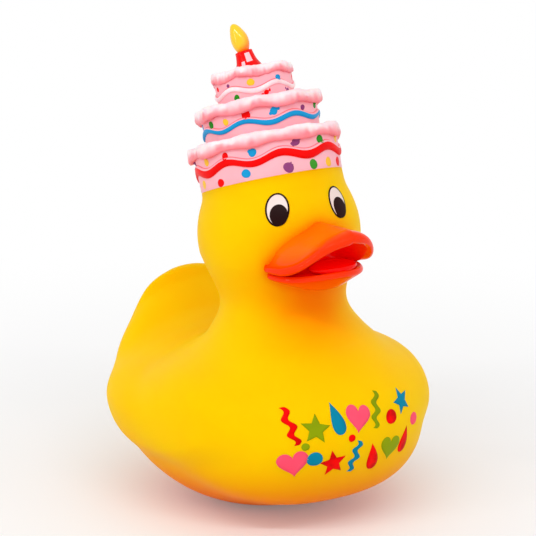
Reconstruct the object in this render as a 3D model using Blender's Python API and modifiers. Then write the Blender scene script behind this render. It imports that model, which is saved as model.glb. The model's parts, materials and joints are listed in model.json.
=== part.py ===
# A bath duck in soft vinyl that wears a three-tier birthday cake with one candle.
# It faces -Y and stands on its flat base at z = 0. It is moulded in one piece, as a hollow shell.

import math

import bmesh
import bpy
from mathutils import Matrix, Vector

MM = 0.001

# Shell
WALL = 2.0 * MM
VENT_DIAMETER = 4.0 * MM
VENT_FORWARD = 1.0 * MM

# Body, from the breast to the tail
BODY_LENGTH = 84.0 * MM
BODY_WIDTH = 69.0 * MM
BODY_SEGMENTS = 36
CAVITY_SEGMENTS = 24

# Wings, moulded as low swellings of the flanks
WING_LENGTH = 56.0 * MM
WING_HEIGHT = 23.0 * MM
WING_RISE = 2.6 * MM
WING_FORWARD = 2.0 * MM
WING_LEVEL = 27.5 * MM
WING_TILT = math.radians(-4.0)
WING_EDGE = 0.34

# Neck and head
NECK_DIAMETER = 28.4 * MM
NECK_HEIGHT = 50.5 * MM
NECK_FORWARD = 7.4 * MM
HEAD_DIAMETER = 39.0 * MM
HEAD_RISE = 16.3 * MM
HEAD_FORWARD = 5.1 * MM
HEAD_START = math.radians(-32.0)
HEAD_STEP = math.radians(12.0)

# Eyes, as layers of paint on the head
EYE_WIDTH = 5.8 * MM
EYE_HEIGHT = 8.3 * MM
EYE_YAW = math.radians(30.0)
EYE_PITCH = math.radians(31.5)
EYE_LEAN = math.radians(1.0)
EYE_RIM = 0.4 * MM
PUPIL_WIDTH = 4.1 * MM
PUPIL_HEIGHT = 5.0 * MM
PUPIL_DROP = 1.2 * MM
PAINT_RISE = 0.12 * MM
PAINT_LAYER = 0.06 * MM
EYE_SEGMENTS = 24

# Bill, measured from a pole that stands just inside the front of the head
BILL_SINK = 2.5 * MM
BILL_HALF_WIDTH = 13.4 * MM
BILL_REACH = 14.8 * MM
BILL_BURIED = 7.0 * MM
BILL_CORNER = math.radians(100.0)
BILL_ROOT_ABOVE = 7.2 * MM
BILL_ROOT_FALL = 0.3
BILL_ROOT_BELOW = 9.0 * MM
BILL_SEGMENTS = 36
UPPER_LIP_FRONT = 1.8 * MM
UPPER_LIP_CORNER = -2.8 * MM
UPPER_LIP_ARCH = 5.7 * MM
UPPER_LIP_SPREAD = math.radians(41.0)
UPPER_LIP_THICK = 4.2 * MM
UPPER_LIP_THIN = 2.6 * MM
LOWER_LIP_FRONT = -2.3 * MM
LOWER_LIP_CORNER = -5.2 * MM
LOWER_LIP_THICK = 2.6 * MM
LOWER_LIP_THIN = 1.3 * MM
LOWER_LIP_SHARE_FRONT = 0.74
LOWER_LIP_SHARE_CORNER = 0.94
MOUTH_SLIT = 0.5 * MM
MOUTH_DEPTH_FRONT = 0.48
MOUTH_DEPTH_CORNER = 0.75

# Cake hat, measured along its own axis from the lower edge of the icing paint
HAT_WIDTH = 37.0 * MM
HAT_HEIGHT = 27.3 * MM
HAT_TILT = math.radians(21.0)
HAT_DEPTH = 7.3 * MM
HAT_SHIFT = 1.2 * MM
HAT_ROOT = 6.0 * MM
TIER_OVERLAP = 1.0 * MM
TIER_TAPER = 0.3 * MM
PAINT_LEDGE = 0.6 * MM
PIPING_RISE = 0.55 * MM
ICING_SAG = 0.35 * MM
ICING_RIPPLE = 0.3 * MM

# Candle and flame
CANDLE_FOOT = 5.9 * MM
CANDLE_TOP = 4.0 * MM
CANDLE_HEIGHT = 4.5 * MM
CANDLE_LEAN = math.radians(8.0)
FLAME_DIAMETER = 4.6 * MM
FLAME_HEIGHT = 6.9 * MM
FLAME_BEND = 0.6 * MM
FLAME_SEGMENTS = 14
FLAME_PROFILE = [(0.0, 0.45), (0.08, 0.6), (0.24, 0.89), (0.4, 1.0), (0.56, 0.94), (0.76, 0.7), (0.92, 0.36)]

# Dots of paint
DOT_SIDES = 8
DOT_COLOURS = ("yellow dots", "red dots", "blue dots", "purple dots", "green dots")

COLOURS = {
    "yellow vinyl": ((1.0, 0.58, 0.01), 0.42),
    "orange bill": ((1.0, 0.10, 0.005), 0.3),
    "eye outline": ((0.02, 0.004, 0.004), 0.3),
    "eye white": ((0.85, 0.78, 0.74), 0.3),
    "pupil": ((0.015, 0.003, 0.003), 0.25),
    "pink cake": ((1.0, 0.43, 0.5), 0.4),
    "pale icing": ((1.0, 0.72, 0.75), 0.38),
    "red piping": ((0.85, 0.01, 0.01), 0.35),
    "blue piping": ((0.02, 0.33, 0.68), 0.35),
    "red candle": ((0.85, 0.005, 0.005), 0.35),
    "flame": ((0.95, 0.55, 0.02), 0.15),
    "yellow dots": ((1.0, 0.55, 0.02), 0.4),
    "red dots": ((0.85, 0.01, 0.01), 0.4),
    "blue dots": ((0.02, 0.33, 0.68), 0.4),
    "purple dots": ((0.25, 0.05, 0.18), 0.4),
    "green dots": ((0.02, 0.26, 0.03), 0.4),
}

# Sections of the body from the tail to the neck. Each is an upright slice through an upper and a
# lower point: y and z of the upper, y and z of the lower, the half width, how square the lower half is,
# with 2 for an ellipse, and where the slice is widest, from 0 at the lower point to 1 at the upper. The y
# are shares of half the body's length, the z of the neck's height and the widths of half the body's width.
BODY_SECTIONS = [
    (0.92, 0.955, 0.975, 0.873, 0.18, 2.0, 0.50),
    (0.88, 0.95, 0.975, 0.72, 0.37, 2.0, 0.50),
    (0.83, 0.902, 0.91, 0.437, 0.55, 2.0, 0.50),
    (0.76, 0.854, 0.73, 0.252, 0.72, 2.0, 0.52),
    (0.67, 0.795, 0.47, 0.104, 0.85, 2.0, 0.56),
    (0.58, 0.766, 0.18, 0.0, 0.94, 2.0, 0.60),
    (0.51, 0.752, -0.15, -0.012, 0.99, 2.1, 0.62),
    (0.46, 0.742, -0.49, 0.07, 1.0, 2.2, 0.62),
    (0.41, 0.742, -0.79, 0.178, 0.98, 2.4, 0.60),
    (0.36, 0.752, -0.96, 0.40, 0.93, 2.2, 0.56),
    (0.31, 0.776, -0.935, 0.61, 0.84, 2.0, 0.50),
    (0.24, 0.83, -0.74, 0.815, 0.62, 2.0, 0.50),
    (0.20, 0.90, -0.62, 0.895, 0.52, 2.0, 0.50),
]

# The cake's tiers from the bottom. Heights of the wall and of its icing, and the piping's level, swing and
# width, are shares of the hat's height. The radii of the wall and of the icing's rim are shares of half the
# hat's width. Then come the waves round the piping and round the icing, and the piping's first crest.
TIERS = [
    {
        "name": "bottom_tier", "wall": 0.289, "icing": 0.110, "radius": 0.919, "rim": 1.0,
        "waves": 8, "drips": 9, "level": 0.168, "swing": 0.027, "band": 0.055, "crest": -19.0,
        "paint": "red piping", "segments": 48,
    },
    {
        "name": "middle_tier", "wall": 0.205, "icing": 0.110, "radius": 0.741, "rim": 0.827,
        "waves": 7, "drips": 8, "level": 0.095, "swing": 0.024, "band": 0.051, "crest": -46.0,
        "paint": "blue piping", "segments": 42,
    },
    {
        "name": "top_tier", "wall": 0.198, "icing": 0.088, "radius": 0.492, "rim": 0.535,
        "waves": 5, "drips": 6, "level": 0.084, "swing": 0.026, "band": 0.048, "crest": -66.0,
        "paint": "pale icing", "segments": 30,
    },
]

# Rows of dots: tier, number, first angle from the front, level and radius as shares of the hat's height,
# and first colour.
DOT_ROWS = [
    (0, 13, -104.0, 0.051, 0.038, 0),
    (0, 13, -89.0, 0.252, 0.038, 0),
    (1, 13, -90.0, 0.165, 0.033, 4),
    (2, 9, -72.0, 0.147, 0.025, 3),
    (2, 8, -61.0, 0.029, 0.024, 4),
]

UP = Vector((0.0, 0.0, 1.0))
HEAD_RADIUS = HEAD_DIAMETER / 2
HEAD_CENTRE = Vector((0.0, -HEAD_FORWARD, NECK_HEIGHT + HEAD_RISE))
HAT_FRAME = Matrix.Translation(HEAD_CENTRE) @ Matrix.Rotation(-HAT_TILT, 4, "X")
HAT_FRAME = HAT_FRAME @ Matrix.Translation((0.0, -HAT_SHIFT, HEAD_RADIUS - HAT_DEPTH))


def clear_scene():
    for old in list(bpy.data.objects):
        bpy.data.objects.remove(old, do_unlink=True)


def new_collection(name):
    collection = bpy.data.collections.new(name)
    bpy.context.scene.collection.children.link(collection)
    return collection


def material(name):
    found = bpy.data.materials.get(name)
    if found:
        return found
    colour, roughness = COLOURS[name]
    made = bpy.data.materials.new(name)
    made.use_nodes = True
    shader = made.node_tree.nodes["Principled BSDF"]
    shader.inputs["Base Color"].default_value = (*colour, 1.0)
    shader.inputs["Roughness"].default_value = roughness
    shader.inputs["Metallic"].default_value = 0.0
    made.diffuse_color = (*colour, 1.0)
    return made


def mix(low, high, share):
    return low + (high - low) * share


def smooth_step(value):
    value = min(max(value, 0.0), 1.0)
    return value * value * (3.0 - 2.0 * value)


def curve_through(rows, steps):
    # Catmull-Rom curve through rows of values, with each span cut in the given number of steps.
    curve = []
    for index in range(len(rows) - 1):
        before = rows[max(index - 1, 0)]
        start = rows[index]
        end = rows[index + 1]
        after = rows[min(index + 2, len(rows) - 1)]
        for step in range(steps):
            t = step / steps
            curve.append([
                b + 0.5 * t * (c - a + t * (2 * a - 5 * b + 4 * c - d + t * (3 * (b - c) + d - a)))
                for a, b, c, d in zip(before, start, end, after)
            ])
    curve.append(list(rows[-1]))
    return curve


def add_object(name, collection, bm, names, frame=Matrix.Identity(4)):
    bmesh.ops.recalc_face_normals(bm, faces=bm.faces)
    bm.transform(frame)
    mesh = bpy.data.meshes.new(name)
    bm.to_mesh(mesh)
    bm.free()
    for each in names:
        mesh.materials.append(material(each))
    mesh.shade_smooth()
    made = bpy.data.objects.new(name, mesh)
    collection.objects.link(made)
    return made


def loft(rings, start, end, bands=None):
    # Closed skin over rings of equal count, with a point at each end. Bands give the material of the
    # faces above each ring, the start point's fan first.
    bm = bmesh.new()
    rows = [[bm.verts.new(point) for point in ring] for ring in rings]
    count = len(rings[0])
    poles = [bm.verts.new(start), bm.verts.new(end)]
    bands = bands or [0] * (len(rings) + 1)
    for k in range(count):
        n = (k + 1) % count
        bm.faces.new((poles[0], rows[0][k], rows[0][n])).material_index = bands[0]
        for index, (low, high) in enumerate(zip(rows, rows[1:])):
            bm.faces.new((low[k], high[k], high[n], low[n])).material_index = bands[index + 1]
        bm.faces.new((poles[1], rows[-1][n], rows[-1][k])).material_index = bands[-1]
    return bm


def section_ring(section, segments, inset):
    upper_y, upper_z, lower_y, lower_z, half_width, square, widest = section
    upper = Vector((0.0, upper_y, upper_z))
    lower = Vector((0.0, lower_y, lower_z))
    centre = lower.lerp(upper, widest)
    trim = (upper - lower).normalized() * inset
    rise = upper - centre - trim
    drop = centre - lower - trim
    half_width -= inset
    ring = []
    for k in range(segments):
        angle = math.tau * k / segments
        along = math.cos(angle)
        across = math.sin(angle)
        reach = rise
        if along < 0.0:
            reach = drop
            along = -(abs(along) ** (2.0 / square))
            across = math.copysign(abs(across) ** (2.0 / square), across)
        ring.append(centre + reach * along + Vector((half_width * across, 0.0, 0.0)))
    return ring


def wing_rise(point):
    along = point.y + WING_FORWARD
    above = point.z - WING_LEVEL
    u = (along * math.cos(WING_TILT) + above * math.sin(WING_TILT)) / (WING_LENGTH / 2)
    v = (above * math.cos(WING_TILT) - along * math.sin(WING_TILT)) / (WING_HEIGHT / 2)
    inside = smooth_step((1.0 + WING_EDGE / 2 - math.hypot(u, v)) / WING_EDGE)
    flank = smooth_step((abs(point.x) / (BODY_WIDTH / 2) - 0.4) / 0.4)
    fullness = math.sqrt(max(1.0 - 0.45 * (u * u + v * v), 0.0))
    return Vector((math.copysign(WING_RISE * inside * flank * fullness, point.x), 0.0, 0.0))


def body_sections(inset):
    half = BODY_LENGTH / 2
    sections = [
        (y1 * half, z1 * NECK_HEIGHT, y2 * half, z2 * NECK_HEIGHT, w * BODY_WIDTH / 2, square, widest)
        for y1, z1, y2, z2, w, square, widest in BODY_SECTIONS
    ]
    levels = [(NECK_HEIGHT, NECK_DIAMETER / 2, NECK_FORWARD)]
    angle = HEAD_START
    while angle < math.radians(86.0):
        level = HEAD_CENTRE.z + (HEAD_RADIUS - inset) * math.sin(angle)
        levels.append((level, HEAD_RADIUS * math.cos(angle), HEAD_FORWARD))
        angle += HEAD_STEP
    for level, radius, forward in levels:
        sections.append((radius - forward, level, -radius - forward, level, radius, 2.0, 0.5))
    return sections


def body_form(name, collection, inset, segments, steps):
    body = body_sections(inset)
    first_head = len(BODY_SECTIONS) + 1
    sections = curve_through(body[:first_head + 1], steps)[:-1] + body[first_head:]
    rings = []
    for section in sections:
        reach = math.hypot(section[0] - section[2], section[1] - section[3]) / 2
        if min(reach, section[4]) < inset * 1.5:
            continue
        ring = section_ring(section, segments, inset)
        if not inset:
            ring = [point + wing_rise(point) for point in ring]
        rings.append(ring)
    tail = sum(rings[0], Vector()) / segments
    tail.y += WALL / 2
    crown = HEAD_CENTRE + UP * (HEAD_RADIUS - inset)
    bm = loft(rings, tail, crown)
    cut = bmesh.ops.bisect_plane(
        bm, geom=bm.verts[:] + bm.edges[:] + bm.faces[:],
        plane_co=(0.0, 0.0, inset), plane_no=(0.0, 0.0, -1.0), clear_outer=True,
    )
    edges = [item for item in cut["geom_cut"] if isinstance(item, bmesh.types.BMEdge)]
    bmesh.ops.contextual_create(bm, geom=edges)
    return add_object(name, collection, bm, ["yellow vinyl"])


def bill_column(angle):
    # One upright slice of the open bill from the root above to the root below, as shares of its
    # reach in that direction with their heights. The lips fall and thin from the front to the corners.
    side = min(abs(angle) / BILL_CORNER, 1.0)
    crest = mix(UPPER_LIP_FRONT, UPPER_LIP_CORNER, side ** 1.5)
    crest += UPPER_LIP_ARCH * math.exp(-((angle / UPPER_LIP_SPREAD) ** 2))
    lip = mix(UPPER_LIP_THICK, UPPER_LIP_THIN, side)
    low = mix(LOWER_LIP_FRONT, LOWER_LIP_CORNER, smooth_step(side))
    brim = max(crest - lip, low + MOUTH_SLIT)
    gap = brim - low
    depth = mix(MOUTH_DEPTH_FRONT, MOUTH_DEPTH_CORNER, smooth_step(side))
    share = mix(LOWER_LIP_SHARE_FRONT, LOWER_LIP_SHARE_CORNER, smooth_step(side))
    chin = mix(LOWER_LIP_THICK, LOWER_LIP_THIN, side ** 2)
    root = BILL_ROOT_ABOVE * (1.0 - BILL_ROOT_FALL * side ** 2)
    under = -BILL_ROOT_BELOW
    return [
        (0.22, mix(root, crest, 0.05)),
        (0.48, mix(root, crest, mix(0.28, 0.2, side))),
        (0.72, mix(root, crest, mix(0.75, 0.5, side))),
        (0.88, crest),
        (0.97, crest - 0.18 * lip),
        (1.00, crest - 0.55 * lip),
        (0.95, mix(crest, brim, 0.92)),
        (mix(depth, 0.95, 0.5), brim),
        (depth, mix(brim, low, 0.4)),
        (depth - 0.02, mix(brim, low, 0.75)),
        (mix(depth, share, 0.5), low - 0.1 * gap),
        (share - 0.03, low),
        (share, low - 0.5 * chin),
        (share - 0.06, low - chin),
        (0.45, mix(low - chin, under, 0.75)),
        (0.22, under),
    ]


def bill_form(collection):
    pole = HEAD_CENTRE + Vector((0.0, BILL_SINK - HEAD_RADIUS, 0.0))
    columns = []
    for k in range(BILL_SEGMENTS):
        angle = math.tau * (k + 0.5) / BILL_SEGMENTS - math.pi
        forward = BILL_REACH if math.cos(angle) > 0.0 else BILL_BURIED
        heading = Vector((BILL_HALF_WIDTH * math.sin(angle), -forward * math.cos(angle), 0.0))
        columns.append([pole + heading * share + UP * height for share, height in bill_column(angle)])
    rings = [list(row) for row in zip(*columns)]
    bm = loft(rings, pole + UP * BILL_ROOT_ABOVE, pole - UP * BILL_ROOT_BELOW)
    return add_object("bill", collection, bm, ["orange bill"])


def eye_layer(name, collection, side, width, height, drop, rise, paint):
    # A thin oval of paint that follows the head, with its edge turned in under the skin.
    frame = Matrix.Rotation(side * EYE_YAW, 4, "Z") @ Matrix.Rotation(-EYE_PITCH, 4, "X")
    frame = Matrix.Translation(HEAD_CENTRE) @ frame @ Matrix.Rotation(-side * EYE_LEAN, 4, "Y")
    rings = []
    for share, radius in ((1.0, HEAD_RADIUS - WALL / 4), (1.0, HEAD_RADIUS + rise), (0.55, HEAD_RADIUS + rise)):
        ring = []
        for k in range(EYE_SEGMENTS):
            angle = math.tau * k / EYE_SEGMENTS
            across = share * width / 2 * math.cos(angle)
            above = share * height / 2 * math.sin(angle) - drop
            ring.append(Vector((across, -HEAD_RADIUS, above)).normalized() * radius)
        rings.append(ring)
    middle = Vector((0.0, -HEAD_RADIUS, -drop)).normalized()
    bm = loft(rings, middle * (HEAD_RADIUS - WALL / 4), middle * (HEAD_RADIUS + rise))
    return add_object(name, collection, bm, [paint], frame)


def eyes(collection):
    for side in (-1, 1):
        label = "right" if side < 0 else "left"
        layers = [
            ("outline", EYE_WIDTH, EYE_HEIGHT, 0.0, "eye outline"),
            ("white", EYE_WIDTH - 2 * EYE_RIM, EYE_HEIGHT - 2 * EYE_RIM, 0.0, "eye white"),
            ("pupil", PUPIL_WIDTH, PUPIL_HEIGHT, PUPIL_DROP, "pupil"),
        ]
        for index, (layer, width, height, drop, paint) in enumerate(layers):
            rise = PAINT_RISE + index * PAINT_LAYER
            eye_layer(f"{label}_eye_{layer}", collection, side, width, height, drop, rise, paint)


def tier_foot(index):
    return HAT_HEIGHT * sum(tier["wall"] + tier["icing"] for tier in TIERS[:index])


def tier_form(collection, index):
    tier = TIERS[index]
    foot = tier_foot(index)
    root = -HAT_ROOT if index == 0 else foot - TIER_OVERLAP
    ledge = PAINT_LEDGE if index == 0 else 0.0
    eave = foot + tier["wall"] * HAT_HEIGHT
    thick = tier["icing"] * HAT_HEIGHT
    top = eave + thick
    columns = []
    for k in range(tier["segments"]):
        turn = math.tau * k / tier["segments"]
        heading = Vector((math.sin(turn), -math.cos(turn), 0.0))
        wave = math.cos(tier["waves"] * (turn - math.radians(tier["crest"])))
        drip = math.cos(tier["drips"] * turn + index)
        ripple = ICING_RIPPLE * math.cos(tier["drips"] * turn - index)
        piping = foot + (tier["level"] + tier["swing"] * wave) * HAT_HEIGHT
        wall = tier["radius"] * HAT_WIDTH / 2
        rim = tier["rim"] * HAT_WIDTH / 2 + ripple
        band = tier["band"] * HAT_HEIGHT / 2
        column = [
            (wall - ledge, root),
            (wall - ledge, foot - ledge / 4),
            (wall, foot + ledge / 4),
            (wall + TIER_TAPER / 2, piping - band),
            (wall + PIPING_RISE, piping - band / 2),
            (wall + PIPING_RISE, piping + band / 3),
            (wall + TIER_TAPER / 2, piping + band),
            (wall + TIER_TAPER, eave - ICING_SAG * drip),
            (mix(wall, rim, 0.75), eave - ICING_SAG * drip - 0.08 * thick),
            (rim, eave + 0.3 * thick),
            (rim, eave + 0.68 * thick + ripple / 2),
            (rim - 0.22 * thick, top - 0.08 * thick + ripple / 2),
            (rim - 0.6 * thick, top + ripple / 2),
            (rim - 1.1 * thick, top - 0.12 * thick),
        ]
        columns.append([heading * radius + UP * level for radius, level in column])
    rings = [list(row) for row in zip(*columns)]
    names = ["pink cake", tier["paint"], "pale icing", "yellow vinyl"]
    skirt = 3 if index == 0 else 0
    bands = [skirt, skirt, skirt, 0, 1, 1, 2, 0, 2, 2, 2, 2, 2, 2, 2]
    bm = loft(rings, UP * root, UP * (top - 0.12 * thick), bands)
    return add_object(tier["name"], collection, bm, names, HAT_FRAME)


def turned(name, collection, profile, segments, paint, frame):
    # Profile points run down the outer side, from the top on the axis to the bottom on the axis.
    mesh = bpy.data.meshes.new(name)
    points = [(radius, 0.0, level) for radius, level in profile]
    mesh.from_pydata(points, [(k, k + 1) for k in range(len(points) - 1)], [])
    mesh.materials.append(material(paint))
    made = bpy.data.objects.new(name, mesh)
    made.matrix_world = frame
    collection.objects.link(made)
    screw = made.modifiers.new("Turn", "SCREW")
    screw.axis = "Z"
    screw.steps = segments
    screw.render_steps = segments
    screw.use_merge_vertices = True
    screw.merge_threshold = 0.01 * MM
    screw.use_smooth_shade = True
    return made


def candle_frame():
    # The candle leans to the duck's right about the middle of its foot.
    foot = UP * tier_foot(len(TIERS))
    return HAT_FRAME @ Matrix.Translation(foot) @ Matrix.Rotation(-CANDLE_LEAN, 4, "Y")


def candle_form(collection):
    edge = (CANDLE_FOOT - CANDLE_TOP) / 4
    profile = [
        (0.0, CANDLE_HEIGHT),
        (CANDLE_TOP / 2 - edge / 2, CANDLE_HEIGHT),
        (CANDLE_TOP / 2, CANDLE_HEIGHT - edge),
        (mix(CANDLE_FOOT, CANDLE_TOP, 0.6) / 2, CANDLE_HEIGHT * 0.45),
        (CANDLE_FOOT / 2, 0.0),
        (CANDLE_FOOT / 2, -TIER_OVERLAP),
        (0.0, -TIER_OVERLAP),
    ]
    return turned("candle", collection, profile, FLAME_SEGMENTS * 2, "red candle", candle_frame())


def flame_form(collection):
    # A drop that is fullest at two fifths of its height and bends to its tip. Its profile gives the share
    # of the height and the share of the width.
    foot = CANDLE_HEIGHT - TIER_OVERLAP / 2
    tall = FLAME_HEIGHT + TIER_OVERLAP / 2
    rings = []
    for share, width in FLAME_PROFILE:
        radius = FLAME_DIAMETER / 2 * width
        centre = Vector((-FLAME_BEND * share ** 3, 0.0, foot + tall * share))
        ring = []
        for j in range(FLAME_SEGMENTS):
            turn = math.tau * j / FLAME_SEGMENTS
            ring.append(centre + Vector((radius * math.cos(turn), radius * math.sin(turn), 0.0)))
        rings.append(ring)
    tip = Vector((-FLAME_BEND, 0.0, foot + tall))
    bm = loft(rings, UP * foot, tip)
    return add_object("flame", collection, bm, ["flame"], candle_frame())


def dot_forms(collection):
    for row, (index, count, first, level, radius, colour) in enumerate(DOT_ROWS):
        tier = TIERS[index]
        height = tier_foot(index) + level * HAT_HEIGHT
        wall = tier["radius"] * HAT_WIDTH / 2 + TIER_TAPER * level / tier["wall"]
        size = radius * HAT_HEIGHT
        for k in range(count):
            turn = math.radians(first) + math.tau * k / count
            bm = bmesh.new()
            bmesh.ops.create_cone(
                bm, cap_ends=True, segments=DOT_SIDES, radius1=size, radius2=size, depth=WALL / 2,
            )
            out = wall + PAINT_RISE - WALL / 4
            place = Matrix.Rotation(turn, 4, "Z") @ Matrix.Translation((0.0, -out, height))
            frame = HAT_FRAME @ place @ Matrix.Rotation(math.pi / 2, 4, "X")
            paint = DOT_COLOURS[(colour + k) % len(DOT_COLOURS)]
            add_object(f"dot_{row}_{k}", collection, bm, [paint], frame)


def hat_cavity(collection):
    profile = []
    for index, tier in enumerate(TIERS):
        foot = tier_foot(index)
        inner = tier["radius"] * HAT_WIDTH / 2 - WALL
        low = -HAT_ROOT if index == 0 else foot - WALL
        high = tier_foot(index + 1) - WALL
        profile.append((inner, low))
        profile.append((inner, high))
    profile = [(0.0, profile[-1][1])] + profile[::-1] + [(0.0, profile[0][1])]
    return turned("hat_cavity", collection, profile, CAVITY_SEGMENTS, "yellow vinyl", HAT_FRAME)


def vent(collection):
    bm = bmesh.new()
    bmesh.ops.create_cone(
        bm, cap_ends=True, segments=FLAME_SEGMENTS,
        radius1=VENT_DIAMETER / 2, radius2=VENT_DIAMETER / 2, depth=4 * WALL,
    )
    return add_object("vent", collection, bm, ["yellow vinyl"], Matrix.Translation((0.0, -VENT_FORWARD, 0.0)))


def combine(target, operation, collection):
    modifier = target.modifiers.new(operation.title(), "BOOLEAN")
    modifier.operation = operation
    modifier.solver = "MANIFOLD"
    modifier.operand_type = "COLLECTION"
    modifier.collection = collection
    modifier.material_mode = "TRANSFER"
    for operand in collection.objects:
        operand.hide_render = True
        operand.display_type = "WIRE"


def build():
    clear_scene()
    product = new_collection("birthday bath duck")
    forms = new_collection("moulded forms")
    cutters = new_collection("cutters")
    duck = body_form("duck", product, 0.0, BODY_SEGMENTS, 2)
    bill_form(forms)
    eyes(forms)
    for index in range(len(TIERS)):
        tier_form(forms, index)
    candle_form(forms)
    flame_form(forms)
    dot_forms(forms)
    body_form("body_cavity", cutters, WALL, CAVITY_SEGMENTS, 1)
    hat_cavity(cutters)
    vent(cutters)
    combine(duck, "UNION", forms)
    combine(duck, "DIFFERENCE", cutters)


build()
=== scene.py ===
import json
from math import atan2, copysign, cos, degrees, exp, hypot, pi, radians, sin, sqrt, tau

import bmesh
import bpy
from mathutils import Matrix, Vector
from mathutils.bvhtree import BVHTree

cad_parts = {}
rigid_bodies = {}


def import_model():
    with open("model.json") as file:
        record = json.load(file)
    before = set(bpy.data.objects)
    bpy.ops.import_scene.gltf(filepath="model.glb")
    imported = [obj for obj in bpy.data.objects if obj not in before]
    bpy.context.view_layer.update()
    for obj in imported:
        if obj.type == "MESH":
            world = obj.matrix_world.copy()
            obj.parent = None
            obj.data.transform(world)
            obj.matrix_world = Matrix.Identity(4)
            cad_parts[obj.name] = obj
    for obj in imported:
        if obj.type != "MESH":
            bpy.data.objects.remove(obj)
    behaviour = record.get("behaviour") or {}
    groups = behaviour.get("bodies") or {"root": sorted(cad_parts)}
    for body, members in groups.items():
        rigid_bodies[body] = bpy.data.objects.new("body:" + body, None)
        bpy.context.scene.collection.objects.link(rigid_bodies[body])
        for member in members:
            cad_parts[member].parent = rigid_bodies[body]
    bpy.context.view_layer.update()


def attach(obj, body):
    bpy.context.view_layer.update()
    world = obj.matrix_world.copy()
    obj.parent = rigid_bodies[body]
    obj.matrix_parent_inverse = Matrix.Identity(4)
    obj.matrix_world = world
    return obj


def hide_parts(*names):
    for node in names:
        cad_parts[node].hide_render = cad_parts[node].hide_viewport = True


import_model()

mm = 0.001


def mixed(low, high, share):
    return low + (high - low) * share


def eased(value):
    value = min(max(value, 0.0), 1.0)
    return value * value * (3.0 - 2.0 * value)


def curveThrough(rows, steps):
    # smooth curve through rows of numbers, each span cut into the same steps
    curve = []
    for index in range(len(rows) - 1):
        before, start = rows[max(index - 1, 0)], rows[index]
        end, after = rows[index + 1], rows[min(index + 2, len(rows) - 1)]
        for step in range(steps):
            t = step / steps
            curve.append([
                b + 0.5 * t * (c - a + t * (2 * a - 5 * b + 4 * c - d + t * (3 * (b - c) + d - a)))
                for a, b, c, d in zip(before, start, end, after)
            ])
    curve.append(list(rows[-1]))
    return curve


def addObject(name, data):
    thing = bpy.data.objects.new(name, data)
    bpy.context.scene.collection.objects.link(thing)
    return thing


def makePiece(name, points, faces, finishes, faceFinish=None, place=None, shade=None):
    mesh = bpy.data.meshes.new(name)
    mesh.from_pydata([tuple(point) for point in points], [], faces)
    for finish in finishes:
        mesh.materials.append(finish)
    if faceFinish:
        mesh.polygons.foreach_set("material_index", faceFinish)
    if shade:
        layer = mesh.attributes.new("shade", "FLOAT", "POINT")
        layer.data.foreach_set("value", shade)
    work = bmesh.new()
    work.from_mesh(mesh)
    bmesh.ops.recalc_face_normals(work, faces=work.faces)
    if place:
        work.transform(place)
    work.to_mesh(mesh)
    work.free()
    mesh.shade_smooth()
    piece = addObject(name, mesh)
    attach(piece, "root")
    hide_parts("duck")
    return piece


def skinOver(rings, start, end):
    # points and faces of a closed skin over rings, with a point at each end
    count = len(rings[0])
    points = [point for ring in rings for point in ring] + [start, end]
    first, last = len(points) - 2, len(points) - 1
    faces, rows = [], []
    for k in range(count):
        n = (k + 1) % count
        faces.append((first, k, n))
        rows.append(0)
        for index in range(len(rings) - 1):
            low = index * count
            faces.append((low + k, low + count + k, low + count + n, low + n))
            rows.append(index + 1)
        low = (len(rings) - 1) * count
        faces.append((last, low + n, low + k))
        rows.append(len(rings))
    return points, faces, rows


def floatGroup(name, inputs, outputs):
    tree = bpy.data.node_groups.new(name, "ShaderNodeTree")
    for label, value in inputs.items():
        socket = tree.interface.new_socket(name=label, in_out="INPUT", socket_type="NodeSocketFloat")
        socket.default_value = value
    for label in outputs:
        tree.interface.new_socket(name=label, in_out="OUTPUT", socket_type="NodeSocketFloat")
    return tree, tree.nodes.new("NodeGroupInput"), tree.nodes.new("NodeGroupOutput")


def feed(tree, value, socket):
    # value is a socket or a plain value
    if isinstance(value, bpy.types.NodeSocket):
        tree.links.new(value, socket)
    else:
        socket.default_value = value


def fill(tree, node, values):
    for label, value in values.items():
        feed(tree, value, node.inputs[label])
    return node


def reckon(tree, operation, *values):
    node = tree.nodes.new("ShaderNodeMath")
    node.operation = operation
    for value, socket in zip(values, node.inputs):
        feed(tree, value, socket)
    return node.outputs[0]


def grainGroup():
    # fine moulded grain and slow mottling: a height for bump and a roughness that wanders
    tree, given, out = floatGroup(
        "mouldedGrain", {"Grain Size": 900.0, "Mottle Size": 70.0, "Roughness": 0.4, "Roughness Spread": 0.1},
        ["Height", "Roughness", "Mottle"],
    )
    where = tree.nodes.new("ShaderNodeTexCoord").outputs["Object"]
    fine, slow = (
        fill(tree, tree.nodes.new("ShaderNodeTexNoise"), {
            "Vector": where, "Scale": given.outputs[label], "Detail": detail}).outputs["Fac"]
        for label, detail in (("Grain Size", 4.0), ("Mottle Size", 3.0))
    )
    centred = reckon(tree, "SUBTRACT", slow, 0.5)
    roughness = reckon(
        tree, "MULTIPLY_ADD", centred, given.outputs["Roughness Spread"], given.outputs["Roughness"])
    fill(tree, out, {"Height": fine, "Roughness": roughness, "Mottle": slow})
    return tree


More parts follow.
